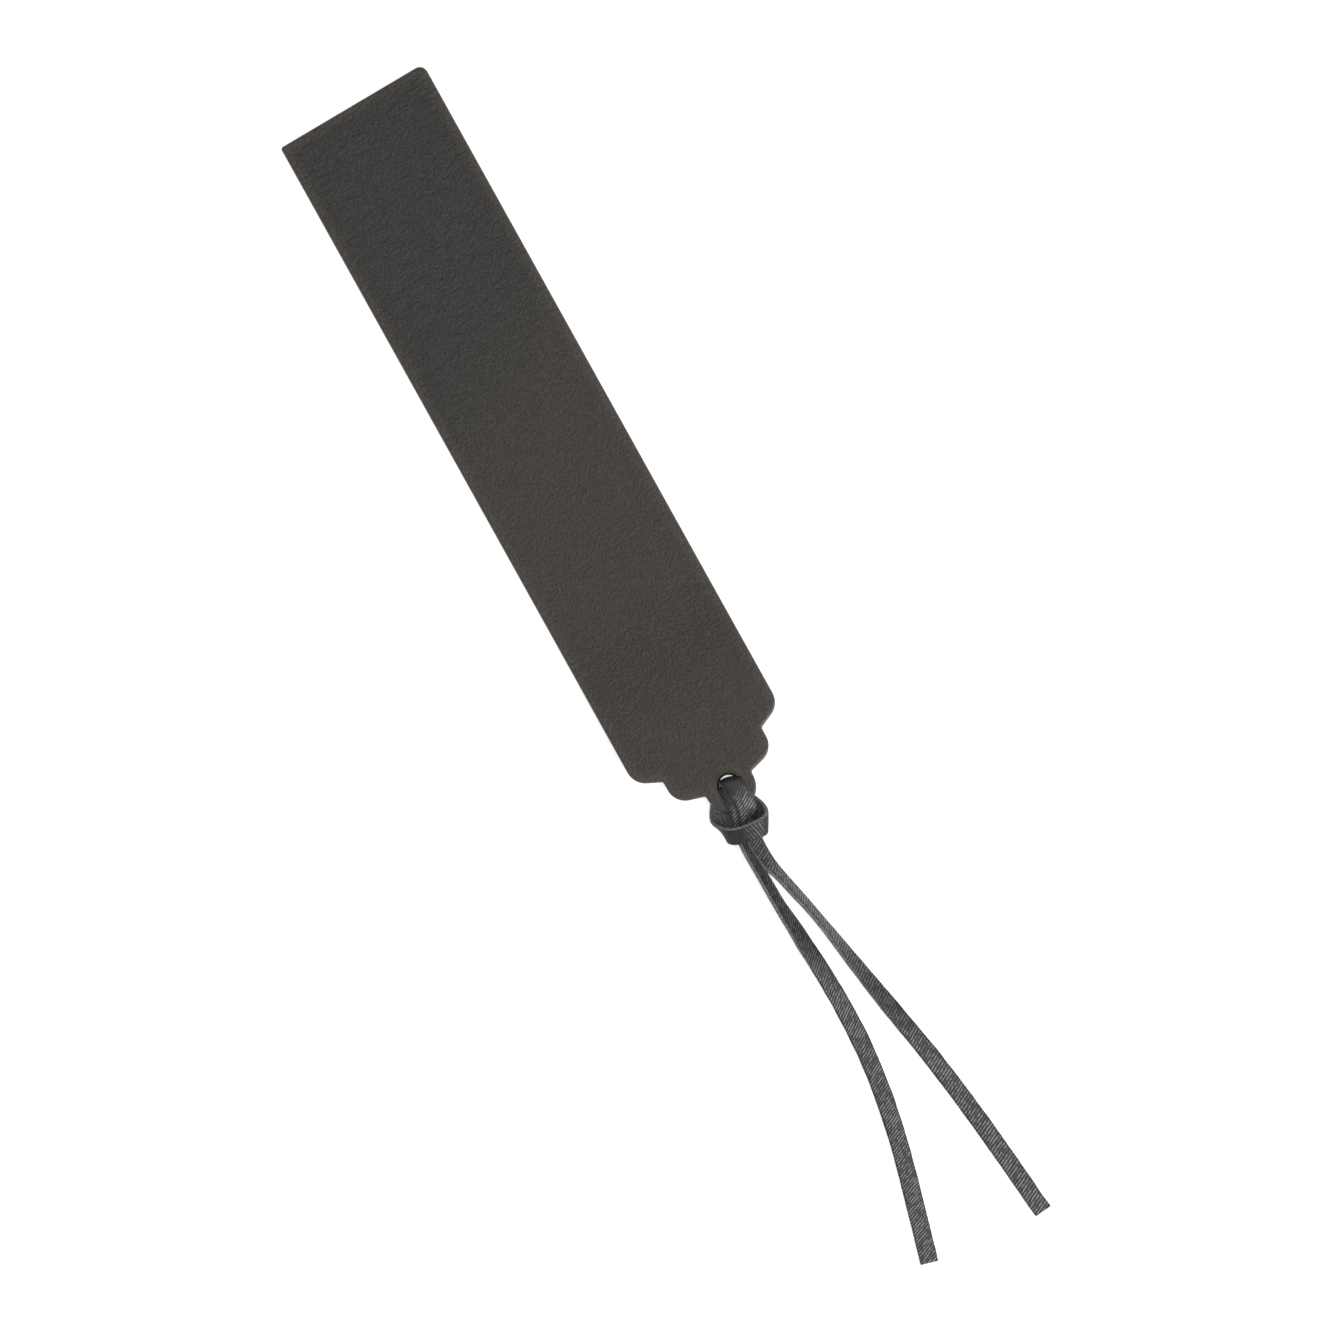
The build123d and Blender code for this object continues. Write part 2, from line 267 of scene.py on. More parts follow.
SLANT_REACH = 0.02
LOOP_SLANTS = (24, 24)
BEND_WINDOW = 30  # steps each way over which a bend is measured
TAUT_PULL = 600  # where the lace is drawn taut, its grain is stretched as by a bend of this rate
STRAND_TAUT = (0, 0.0095)  # how far from the hole it is tautest, and the reach round that place
LOOP_TAUT = (0.0145, 0.0085)  # round the left side and half across the collar
TAIL_CUT = 60  # degrees round the grain's corner where the raw cut starts
LOOP_CUT = 30
LINE_STEPS = 40

# The loop of the hitch, by its two edges: the rim, which is its upper edge on the front, and the
# hem. From the hole it goes behind the tab to the left, round to the front as a collar, round the
# right side and behind the tab again, back up into the hole
LOOP_EDGES = [
    ((-0.0020, -0.0862, 0.0030), (0.0020, -0.0862, 0.0030)),
    ((-0.0021, -0.0856, 0.00165), (0.0017, -0.0874, 0.00165)),
    ((-0.0050, -0.0864, 0.00165), (-0.0019, -0.0894, 0.00165)),
    ((-0.0071, -0.0890, 0.0017), (-0.0032, -0.0926, 0.0016)),
    ((-0.0080, -0.0913, 0.0026), (-0.0036, -0.0953, 0.0007)),
    ((-0.0062, -0.0936, 0.0070), (-0.0070, -0.0970, 0.0039)),
    ((-0.0036, -0.0952, 0.0071), (-0.0052, -0.0986, 0.0043)),
    ((-0.0003, -0.09565, 0.0072), (-0.0010, -0.09965, 0.0047)),
    ((0.0029, -0.0959, 0.0070), (0.0014, -0.0999, 0.0044)),
    ((0.0048, -0.0954, 0.0063), (0.0024, -0.0995, 0.0033)),
    ((0.0049, -0.0930, 0.0022), (0.0021, -0.0970, 0.0007)),
    ((0.0041, -0.0906, 0.0010), (0.0004, -0.0926, 0.0008)),
    ((0.0026, -0.0874, 0.00055), (-0.0017, -0.0882, 0.00055)),
    ((0.0021, -0.08505, 0.0005), (-0.0021, -0.08505, 0.0005)),
    ((0.0020, -0.08505, 0.0030), (-0.0020, -0.08505, 0.0030)),
]

# Each half of the lace from the hole to its cut end: x, y, z, the degrees that its left edge is
# lifted, its width where it is squeezed or spread, and the degrees that it is turned in the hole.
# It comes up out of the hole, lies on the tab, dives under the collar, leaves it on edge where y is
# -0.1, and comes to lie flat on the table
LEFT_ROUTE = [
    (-0.00035, -0.0858, 0.003, 0, 0.0048, -8),
    (-0.00055, -0.0853, 0.0046, 0, 0.0048, -8),
    (-0.0006, -0.0884, 0.0044, 0, 0.0044),
    (-0.0009, -0.0912, 0.0042, 2),
    (-0.0015, -0.0938, 0.0035, 10),
    (-0.0024, -0.0963, 0.0026, 34),
    (-0.0033, -0.0988, 0.0021, 58),
    (-0.00351, -0.10385, 0.00209, 62),
    (-0.003345, -0.10905, 0.0021, 60),
    (-0.003295, -0.11405, 0.0021, 59),
    (-0.002965, -0.11905, 0.0019, 50),
    (-0.002615, -0.124, 0.0016, 37),
    (-0.001715, -0.1395, 0.0005, 3),
    (-0.002115, -0.156, 0.0005, 0),
    (-0.005115, -0.1745, 0.0005, 0),
    (-0.009215, -0.19, 0.0005, 0),
    (-0.013015, -0.204, 0.0005, 0),
]
RIGHT_ROUTE = [
    (0.0002, -0.08463, 0.003, 0, 0.0043, -12),
    (0.0007, -0.08403, 0.0058, 0, 0.0049, -15),
    (0.0013, -0.0877, 0.0058, 0, 0.005, -5),
    (0.0012, -0.0906, 0.0054, 0, 0.0048),
    (0.0009, -0.0931, 0.0047, 4, 0.0045),
    (0.0002, -0.0955, 0.0035, 24, 0.0042),
    (-0.0009, -0.0983, 0.0022, 34),
    (-0.0011, -0.1018, 0.0018, 39),
    (-0.0007, -0.1066, 0.0019, 47),
    (0.0001, -0.10905, 0.0021, 62),
    (0.00127, -0.11405, 0.0021, 62),
    (0.00245, -0.11905, 0.0021, 66),
    (0.0035, -0.124, 0.0021, 68),
    (0.0067, -0.1433, 0.0016, 32),
    (0.01075, -0.1645, 0.0005, 0),
    (0.01355, -0.186, 0.0005, 0),
    (0.0155, -0.2063, 0.0005, 0),
]
LEFT_LENGTH = 0.105
RIGHT_LENGTH = 0.1074
SEAM_Y = -0.1019  # the tails' own pieces start here, just past the collar
SWING_SPAN = (-0.0989, -0.1018)  # the lace turns sideways between these places along it
LIFT_SPAN = (-0.119, -0.129)  # and up or down between these
joint_places = {joint["name"]: Vector(joint["pos_m"]) for joint in frame["joints"]}


def scallop_y(notch_x, notch_y, side_x, radius, slope):
    """Where the middle of a scallop's round lies, above a straight slope up from its notch."""
    slope_end_x = side_x - radius + radius * sin(radians(slope))
    slope_rise = (slope_end_x - notch_x) * tan(radians(slope))
    return notch_y + slope_rise + radius * cos(radians(slope))


# Places along the strip
tab_y = TIP_Y + TAB_RADIUS
lobe_end_y = tab_y + TAB_NECK
lobe_step = LOBE_SHARE * (HALF_WIDTH - TAB_RADIUS)
lobe_side = TAB_RADIUS + lobe_step
lobe_radius = LOBE_ROUND * lobe_step
lobe_y = scallop_y(TAB_RADIUS, lobe_end_y, lobe_side, lobe_radius, LOBE_SLOPE)
shoulder_end_y = lobe_y + LOBE_NECK
shoulder_radius = SHOULDER_ROUND * (HALF_WIDTH - lobe_side)
shoulder_y = scallop_y(lobe_side, shoulder_end_y, HALF_WIDTH, shoulder_radius, SHOULDER_SLOPE)
hole_y = TIP_Y + HOLE_INSET
bend_end_y = TIP_Y + RAISED_LENGTH
bend_start_y = bend_end_y + BEND_LENGTH

# View: straight down, with the strip leaning left as it goes up
PHOTO_PIXELS = 1331
PIXELS_PER_METRE = 4358
VIEW_X = 0.00057
VIEW_Y = -0.0548
VIEW_TURN = -29.05
LENS = 200
SENSOR = 36
VIEW_END = 10

camera_data = bpy.data.cameras.new("photo_camera")
camera_data.lens = LENS
camera_data.sensor_width = SENSOR
camera_data.clip_end = VIEW_END
camera = bpy.data.objects.new("photo_camera", camera_data)
camera.location = (VIEW_X, VIEW_Y, PHOTO_PIXELS / PIXELS_PER_METRE * LENS / SENSOR)
camera.rotation_euler = (0, 0, radians(VIEW_TURN))
bpy.context.scene.collection.objects.link(camera)
bpy.context.scene.camera = camera


# Materials
def linear(code):
    """A colour written as sRGB hex, as linear red, green, blue and alpha."""
    parts = [int(code[i : i + 2], 16) / 255 for i in (1, 3, 5)]
    return (*[x / 12.92 if x <= 0.04045 else ((x + 0.055) / 1.055) ** 2.4 for x in parts], 1)


def per_metre(spacing_mm):
    """The scale of a pattern whose features lie that many millimetres apart."""
    return 1000 / spacing_mm


# A Mix node's sockets for colours, and how far apart a wave texture's bands lie at scale 1
MIX_SHARE, MIX_FIRST, MIX_SECOND = 0, 6, 7
MIX_RESULT = 2
BAND_SPACING = pi / 10


def add_node(tree, kind, settings=None, values=None, links=None):
    """A shader node with its settings, its sockets' values and its links."""
    made = tree.nodes.new("ShaderNode" + kind)
    for name, value in (settings or {}).items():
        setattr(made, name, value)
    for socket, value in (values or {}).items():
        made.inputs[socket].default_value = value
    for socket, source in (links or {}).items():
        tree.links.new(source, made.inputs[socket])
    return made


def new_material(name):
    """An empty material with its output node, and where its surface lay before it was bent."""
    material = bpy.data.materials.new(name)
    material.use_nodes = True
    tree = material.node_tree
    tree.nodes.clear()
    output = add_node(tree, "OutputMaterial")
    place = add_node(tree, "Attribute", {"attribute_name": "flat_place"})
    return material, tree, output, place.outputs["Vector"]


def dyed_grain_leather():
    """Full-grain calf, drum-dyed a dark taupe and left matte. The hair side shows as a fine pebble
    with creases across the strip, faint on its lower half and plainer on its upper half, which is
    also painted cooler and darker as painted shade for the dimmer reflection where the top end
    curls. It is painted a little paler and browner along the cut edges, partly rubbed wear and
    partly a painted highlight where the rounded edge catches the light."""
    material, tree, output, place = new_material("drum_dyed_full_grain_calf")
    # Real pores lie 0.2 to 0.3 mm apart, too fine to show here, so they are drawn at 0.5 mm
    pebble = add_node(
        tree,
        "TexVoronoi",
        {"feature": "SMOOTH_F1"},
        {"Scale": per_metre(0.5), "Randomness": 1.0},
        {"Vector": place},
    )
    # The creases lie about 2 mm apart and run across the strip
    stretched = add_node(tree, "Mapping", values={"Scale": (0.4, 1, 1)}, links={"Vector": place})
    crease = add_node(
        tree,
        "TexNoise",
        values={"Scale": per_metre(2.0), "Detail": 3.0, "Roughness": 0.6, "Distortion": 1.2},
        links={"Vector": stretched.outputs["Vector"]},
    )
    # The upper part is painted cooler and darker, as painted shade for the dimmer reflection where the top end curls.
    # It starts part of the way up, further up on the right side than on the left
    up_strip = add_node(
        tree,
        "VectorMath",
        {"operation": "DOT_PRODUCT"},
        {1: (-0.5, 1, 0)},
        {0: place},
    )
    upper = add_node(
        tree,
        "MapRange",
        {"interpolation_type": "SMOOTHSTEP"},
        {"From Min": 0.002, "From Max": 0.04},
        {"Value": up_strip.outputs["Value"]},
    )
    crease_share = add_node(
        tree,
        "MapRange",
        values={"To Min": 0.25, "To Max": 0.9},
        links={"Value": upper.outputs["Result"]},
    )
    creased = add_node(
        tree,
        "Math",
        {"operation": "MULTIPLY"},
        links={0: crease.outputs["Fac"], 1: crease_share.outputs["Result"]},
    )
    height = add_node(
        tree,
        "Math",
        {"operation": "MULTIPLY_ADD"},
        {1: 0.5},
        {0: pebble.outputs["Distance"], 2: creased.outputs["Value"]},
    )
    bump = add_node(
        tree,
        "Bump",
        values={"Strength": 0.9, "Distance": 0.0005},
        links={"Height": height.outputs["Value"]},
    )
    # Painted shade: the upper part is mixed to a cooler, darker tone
    dye_and_painted_shade = add_node(
        tree,
        "Mix",
        {"data_type": "RGBA"},
        {MIX_FIRST: linear("#3c3732"), MIX_SECOND: linear("#343330")},
        {MIX_SHARE: upper.outputs["Result"]},
    )
    # Painted paler and browner near the cut edges: partly rubbed wear, partly a painted highlight where the rounded
    # edge catches the light
    edge = add_node(tree, "Attribute", {"attribute_name": "edge_share"})
    wear_and_edge_highlight = add_node(
        tree,
        "MapRange",
        {"interpolation_type": "SMOOTHSTEP"},
        {"From Min": 0.2, "To Max": 0.7},
        {"Value": edge.outputs["Fac"]},
    )
    tone = add_node(
        tree,
        "Mix",
        {"data_type": "RGBA"},
        {MIX_SECOND: linear("#4e4740")},
        {MIX_SHARE: wear_and_edge_highlight.outputs["Result"], MIX_FIRST: dye_and_painted_shade.outputs[MIX_RESULT]},
    )
    # Each pore is painted darker than the skin round it, as painted shade in the pits of the pebble
    pore_shade = add_node(
        tree,
        "MapRange",
        values={"From Max": 0.6, "To Min": 0.64, "To Max": 1.18},
        links={"Value": pebble.outputs["Distance"]},
    )
    shade = add_node(
        tree,
        "VectorMath",
        {"operation": "SCALE"},
        links={0: tone.outputs[MIX_RESULT], "Scale": pore_shade.outputs["Result"]},
    )
    rough = add_node(
        tree,
        "MapRange",
        values={"To Min": 0.6, "To Max": 0.76},
        links={"Value": crease.outputs["Fac"]},
    )
    surface = add_node(
        tree,
        "BsdfPrincipled",
        values={"IOR": 1.48},
        links={
            "Base Color": shade.outputs["Vector"],
            "Roughness": rough.outputs["Result"],
            "Normal": bump.outputs["Normal"],
        },
    )
    tree.links.new(surface.outputs["BSDF"], output.inputs["Surface"])
    return material


def fibre_leather(name, dark, light, spacing_mm, roughness):
    """Leather without its grain, as cut, slicked or sueded: felted fibres, uneven in tone, which
    scatter light the more the less they were pressed."""
    material, tree, output, place = new_material(name)
    fibre = add_node(
        tree,
        "TexNoise",
        values={"Scale": per_metre(spacing_mm), "Detail": 4.0, "Roughness": 0.65},
        links={"Vector": place},
    )
    share = add_node(
        tree,
        "MapRange",
        values={"From Min": 0.35, "From Max": 0.65},
        links={"Value": fibre.outputs["Fac"]},
    )
    tone = add_node(
        tree,
        "Mix",
        {"data_type": "RGBA"},
        {MIX_FIRST: linear(dark), MIX_SECOND: linear(light)},
        {MIX_SHARE: share.outputs["Result"]},
    )
    bump = add_node(
        tree,
        "Bump",
        values={"Strength": 0.6, "Distance": 0.00015},
        links={"Height": fibre.outputs["Fac"]},
    )
    surface = add_node(
        tree,
        "BsdfPrincipled",
        values={"Roughness": roughness, "IOR": 1.48},
        links={"Base Color": tone.outputs[MIX_RESULT], "Normal": bump.outputs["Normal"]},
    )
    tree.links.new(surface.outputs["BSDF"], output.inputs["Surface"])
    return material


def satin_lace_grain():
    """Finished lacing calf, dyed through and rolled to a satin face: charcoal with short slanting
    stretch lines, smooth on their crests and dark between. The crests are painted pale, a painted
    sheen that stands in for the glints they catch."""
    material, tree, output, place = new_material("rolled_satin_lacing_calf")
    # The stretch lines lie about 0.4 mm apart, drawn at 0.75 mm so that they show
    line_wave = add_node(
        tree,
        "TexWave",
        {"bands_direction": "Y"},
        {"Scale": per_metre(0.75) * BAND_SPACING, "Distortion": 1.0, "Detail": 1.0, "Detail Scale": 0.8},
        {"Vector": place},
    )
    # They are broken into dashes, and pulled smooth where the lace bends sharply or is taut; there the painted sheen
    # of the pale crests goes too, so those stretches read darker
    dash = add_node(
        tree,
        "TexNoise",
        values={"Scale": per_metre(0.8), "Detail": 1.0},
        links={"Vector": place},
    )
    shown = add_node(
        tree,
        "MapRange",
        {"interpolation_type": "SMOOTHSTEP"},
        {"From Min": 0.36, "From Max": 0.58, "To Min": 0.3},
        {"Value": dash.outputs["Fac"]},
    )
    bend = add_node(tree, "Attribute", {"attribute_name": "bend_rate"})
    slack = add_node(
        tree,
        "MapRange",
        {"interpolation_type": "SMOOTHSTEP"},
        {"From Min": 110, "From Max": 420, "To Min": 1.0, "To Max": 0.12},
        {"Value": bend.outputs["Fac"]},
    )
    seen_lines = add_node(
        tree,
        "Math",
        {"operation": "MULTIPLY"},
        links={0: shown.outputs["Result"], 1: slack.outputs["Result"]},
    )
    crest = add_node(
        tree,
        "Math",
        {"operation": "MULTIPLY"},
        links={0: line_wave.outputs["Fac"], 1: seen_lines.outputs["Value"]},
    )
    # Painted sheen: the crests are mixed pale, standing in for the glints of light they catch
    lines = add_node(
        tree,
        "Mix",
        {"data_type": "RGBA"},
        {MIX_FIRST: linear("#121113"), MIX_SECOND: linear("#5a595f")},
        {MIX_SHARE: crest.outputs["Value"]},
    )
    # The grain face is painted darker along both edges: painted shade where the sheen falls off round its corners
    spread = add_node(tree, "SeparateXYZ", links={"Vector": place})
    from_middle = add_node(tree, "Math", {"operation": "ABSOLUTE"}, links={0: spread.outputs["X"]})
    edge_shade = add_node(
        tree,
        "MapRange",
        {"interpolation_type": "SMOOTHSTEP"},
        {"From Min": 0.0016, "From Max": 0.0021, "To Max": 0.75},
        {"Value": from_middle.outputs["Value"]},
    )
    tone = add_node(
        tree,
        "Mix",
        {"data_type": "RGBA"},
        {MIX_SECOND: linear("#161517")},
        {MIX_SHARE: edge_shade.outputs["Result"], MIX_FIRST: lines.outputs[MIX_RESULT]},
    )
    rough = add_node(
        tree,
        "MapRange",
        values={"To Min": 0.6, "To Max": 0.44},
        links={"Value": crest.outputs["Value"]},
    )
    # The rolling left its finish on the crests
    sheen = add_node(
        tree,
        "MapRange",
        values={"To Min": 0.24, "To Max": 0.68},
        links={"Value": crest.outputs["Value"]},
    )
    bump = add_node(
        tree,
        "Bump",
        values={"Strength": 0.8, "Distance": 0.0001},
        links={"Height": crest.outputs["Value"]},
    )
    surface = add_node(
        tree,
        "BsdfPrincipled",
        values={"IOR": 1.85},
        links={
            "Base Color": tone.outputs[MIX_RESULT],
            "Roughness": rough.outputs["Result"],
            "Specular IOR Level": sheen.outputs["Result"],
            "Normal": bump.outputs["Normal"],
        },
    )
    tree.links.new(surface.outputs["BSDF"], output.inputs["Surface"])
    return material


strip_materials = [
    dyed_grain_leather(),
    fibre_leather("sueded_flesh_back", "#37322d", "#4a443d", 0.6, 0.92),
    fibre_leather("slicked_cut_edge", "#423e39", "#5a5550", 0.5, 0.28),
]
STRIP_GRAIN, STRIP_BACK, STRIP_EDGE = range(3)
GRAIN_STEPS = 1  # steps down the rounded edge that still have the grain on them
lace_materials = [
    satin_lace_grain(),
    fibre_leather("knife_cut_lace_edge", "#48484b", "#959598", 0.4, 0.8),
    fibre_leather("sueded_lace_flesh", "#343434", "#767473", 0.45, 0.92),
]
GRAIN, CUT, FLESH = range(3)


# Mesh helpers
def new_piece(name, mesh_data, materials, slot):
    """An object of the finished mesh, with its materials and the record's slot."""
    mesh = bpy.data.meshes.new(name)
    mesh_data.to_mesh(mesh)
    mesh_data.free()
    for material in materials:
        mesh.materials.append(material)
    piece = bpy.data.objects.new(name, mesh)
    bpy.context.scene.collection.objects.link(piece)
    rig.slot(piece, slot)
    return piece


def smooth_line(points):
    """Places along the smooth line that a list of points pulls into shape."""
    curve = bpy.data.curves.new("route", "CURVE")
    curve.dimensions = "3D"
    spline = curve.splines.new("NURBS")
    spline.points.add(len(points) - 1)
    for made, point in zip(spline.points, points):
        made.co = (*point, 1)
    spline.order_u = 3
    spline.use_endpoint_u = True
    spline.resolution_u = LINE_STEPS
    holder = bpy.data.objects.new("route", curve)
    mesh = bpy.data.meshes.new_from_object(holder)
    line = [vertex.co.copy() for vertex in mesh.vertices]
    bpy.data.objects.remove(holder)
    bpy.data.curves.remove(curve)
    bpy.data.meshes.remove(mesh)
    return line


# Strip
def lift(y):
    """How far the strip's back stands off the table, in two gentle arcs up to the tab."""
    share = min(max((bend_start_y - y) / BEND_LENGTH, 0), 1)
    return TAB_LIFT * (2 * share**2 if share < 0.5 else 1 - 2 * (1 - share) ** 2)


def wave(x, y):
    """The slight lie of a strip that has been handled."""
    return WAVE_HEIGHT * (1 + noise.noise(Vector((x, y, 0)) / WAVE_LENGTH)) / 2


def notch_arc(x, y, slope):
    """The small round in the corner between a scallop's side and the next one's slope."""
    middle_y = y + NOTCH_RADIUS * (tan(radians(slope)) - 1 / cos(radians(slope)))
    return (x + NOTCH_RADIUS, middle_y, NOTCH_RADIUS, 180, 90 + slope)


def strip_outline():
    """Places on the strip's cut edge with the way out of the leather, from the tip up the right."""
    scallops = [
        (0, tab_y, TAB_RADIUS, -90, 0),
        notch_arc(TAB_RADIUS, lobe_end_y, LOBE_SLOPE),
        (lobe_side - lobe_radius, lobe_y, lobe_radius, LOBE_SLOPE - 90, 0),
        notch_arc(lobe_side, shoulder_end_y, SHOULDER_SLOPE),
        (HALF_WIDTH - shoulder_radius, shoulder_y, shoulder_radius, SHOULDER_SLOPE - 90, 0),
    ]
    corners = []
    for side, radius, start, end in (
        (1, TOP_RIGHT_RADIUS, 0, 90 + TOP_SKEW),
        (-1, TOP_LEFT_RADIUS, 90 + TOP_SKEW, 180),
    ):
        x = side * (HALF_WIDTH - radius)
        y = TOP_Y + x * tan(radians(TOP_SKEW)) - radius / cos(radians(TOP_SKEW))
        corners.append((x, y, radius, start, end))
    mirrored = []
    for x, y, radius, start, end in reversed(scallops):
        mirrored.append((-x, y, radius, 180 - end, 180 - start))
    places = []
    for x, y, radius, start, end in scallops + corners + mirrored:
        steps = max(LEAST_ARC_STEPS, ceil(abs(radians(end - start)) * radius / ARC_STEP))
        for step in range(steps + 1):
            angle = radians(start + (end - start) * step / steps)
            out = Vector((cos(angle), sin(angle)))
            place = Vector((x, y)) + out * radius
            if step == 0 and places:
                before, way = places[-1]
                run = place - before
                parts = ceil(run.length / RUN_STEP)
                places += [(before + run * part / parts, way) for part in range(1, parts)]
                if run.length < SHORTEST_RUN:
                    continue
            places.append((place, out if end > start else -out))
    return places[:-1]


def edge_profile(front_round, back_round, taper=0):
    """Pairs of how far in from the cut edge and how high on it, from the front round to the back.
    The taper brings the edge out that much at the back."""
    profile = []
    for angle in range(0, 91, FRONT_TURN):
        turn = radians(angle)
        profile.append((front_round * (1 - sin(turn)), STRIP_THICKNESS - front_round * (1 - cos(turn))))
    for angle in range(0, 91, BACK_TURN):
        turn = radians(angle)
        profile.append((back_round * (1 - cos(turn)) - taper, back_round * (1 - sin(turn))))
    return profile


def hole_outline():
    """Places on the hole's edge with the way out of the leather, clockwise."""
    middle = Vector((0, hole_y))
    steps = ceil(2 * pi * HOLE_RADIUS / ARC_STEP)
    places = []
    for step in range(steps):
        turn = -2 * pi * step / steps
        out = Vector((cos(turn), sin(turn)))
        places.append((middle + out * HOLE_RADIUS, -out))
    return places


def net_places(edges, edge_tree):
    """A net of places on the leather, clear of its cut edges."""
    net = []
    columns = ceil(HALF_WIDTH / NET_STEP)
    rows = ceil((TOP_Y + HALF_WIDTH) / NET_STEP)
    for column in range(-columns, columns + 1):
        for row in range(-rows, rows + 1):
            place = Vector((column * NET_STEP, row * NET_STEP))
            near, index, distance = edge_tree.find((*place, 0))
            _, out = edges[index]
            if distance > NET_CLEAR and (place - near.xy).dot(out) < 0:
                net.append(place)
    return net


def face_triangles(rim, hole_rim, net):
    """Corners of the triangles that fill a face from its outer rim to the rim of its hole."""
    vertices = rim + hole_rim + net
    border = []
    first = 0
    for ring in (rim, hole_rim):
        border += [(first + i, first + (i + 1) % len(ring)) for i in range(len(ring))]
        first += len(ring)
    flat = [vertex.co.xy for vertex in vertices]
    filled = geometry.delaunay_2d_cdt(flat, border, [], INSIDE_BORDER, MERGE_GAP)
    _, _, triangles, sources, _, _ = filled
    hole_corners = set(hole_rim)
    for triangle in triangles:
        corners = [vertices[sources[i][0]] for i in triangle]
        if not hole_corners.issuperset(corners):
            yield corners


def make_strip():
    """The strip's leather: a rounded cut edge round the outline and the hole, and two faces."""
    outline = strip_outline()
    hole = hole_outline()
    edges = outline + hole
    edge_tree = kdtree.KDTree(len(edges))
    for index, (place, _) in enumerate(edges):
        edge_tree.insert((*place, 0), index)
    edge_tree.balance()

    mesh = bmesh.new()
    flat_place = mesh.verts.layers.float_vector.new("flat_place")
    edge_share = mesh.verts.layers.float.new("edge_share")

    def add_vertex(x, y, level):
        made = mesh.verts.new((x, y, lift(y) + wave(x, y) + level))
        made[flat_place] = (x, y, level)
        made[edge_share] = max(0, 1 - edge_tree.find((x, y, 0))[2] / EDGE_REACH)
        return made

    rims = []
    for places, profile in (
        (outline, edge_profile(TOP_EDGE_ROUND, BACK_EDGE_ROUND)),
        (hole, edge_profile(HOLE_EDGE_ROUND, BACK_EDGE_ROUND, HOLE_TAPER)),
    ):
        rings = []
        for inset, level in profile:
            rings.append([add_vertex(*(place - out * inset), level) for place, out in places])
        for step, (upper, lower) in enumerate(zip(rings, rings[1:])):
            for a, b, c, d in zip(upper, lower, lower[1:] + lower[:1], upper[1:] + upper[:1]):
                made = mesh.faces.new((a, b, c, d))
                if step < GRAIN_STEPS:
                    made.material_index = STRIP_GRAIN
                else:
                    made.material_index = STRIP_EDGE if places is outline else STRIP_BACK
        rims.append((rings[0], rings[-1]))

    net = net_places(edges, edge_tree)
    for face, level, material in ((0, STRIP_THICKNESS, STRIP_GRAIN), (1, 0, STRIP_BACK)):
        rim, hole_rim = [ring[face] for ring in rims]
        face_net = [add_vertex(*place, level) for place in net]
        for corners in face_triangles(rim, hole_rim, face_net):
            made = mesh.faces.new(corners if material == STRIP_GRAIN else corners[::-1])
            made.material_index = material
    for face in mesh.faces:
        face.smooth = True
    return new_piece("grain_strip", mesh, strip_materials, "strip_leather")


# Lace
def lace_section(cut_from):
    """The lace's rounded section: places across and through it, and the face that follows each.
    The raw cut starts that many degrees round the grain's corner."""
    half = LACE_WIDTH / 2
    deep = LACE_THICKNESS / 2
    section = []
    across = half - GRAIN_CORNER
    for part in range(-GRAIN_PARTS, GRAIN_PARTS + 1):
        share = part / GRAIN_PARTS
        section.append((across * share, deep + CROWN * (1 - share**2), GRAIN))
    for angle in GRAIN_TURNS:
        turn = radians(angle)
        face = GRAIN if angle < cut_from else CUT
        section.append((across + GRAIN_CORNER * sin(turn), deep - GRAIN_CORNER * (1 - cos(turn)), face))
    section.append((half, 0, CUT))
    for angle in FLESH_TURNS:
        turn = radians(angle)
        x = half - FLESH_CORNER * (1 - cos(turn))
        section.append((x, FLESH_CORNER * (1 - sin(turn)) - deep, CUT))
    section[-1] = (*section[-1][:2], FLESH)
    right_edge = section[2 * GRAIN_PARTS :]
    for part in range(FLESH_PARTS - 1, -FLESH_PARTS, -1):
        section.append(((half - FLESH_CORNER) * part / FLESH_PARTS, -deep, FLESH))
    for index in range(len(right_edge) - 1, 0, -1):
        x, z, _ = right_edge[index]
        section.append((-x, z, right_edge[index - 1][2]))
    return section


def bend_rate(line, index, grain):
    """How sharply the line bends there with the grain outside, in radians a metre."""
    reach = min(BEND_WINDOW, index, len(line) - 1 - index)
    if reach == 0:
        return 0
    before = line[index] - line[index - reach]
    after = line[index + reach] - line[index]
    turn = after.normalized() - before.normalized()
    return -turn.dot(grain) * 2 / (before.length + after.length)


def lace_frames(middle, edge, skew_reach):
    """Along a line of lace: its middle, the way to its edge, its grain side, its length and its
    bend. Past the reach, the way to the edge is square to the run."""
    frames = []
    length = 0
    for index, place in enumerate(middle):
        before = middle[max(index - 1, 0)]
        after = middle[min(index + 1, len(middle) - 1)]
        run = (after - before).normalized()
        length += (place - before).length
        half = edge[index] - place
        square = half - run * half.dot(run) * min(length / skew_reach, 1)
        half = square.normalized() * half.length
        grain = half.cross(run).normalized()
        frames.append((place, half, grain, length, bend_rate(middle, index, grain)))
    return frames


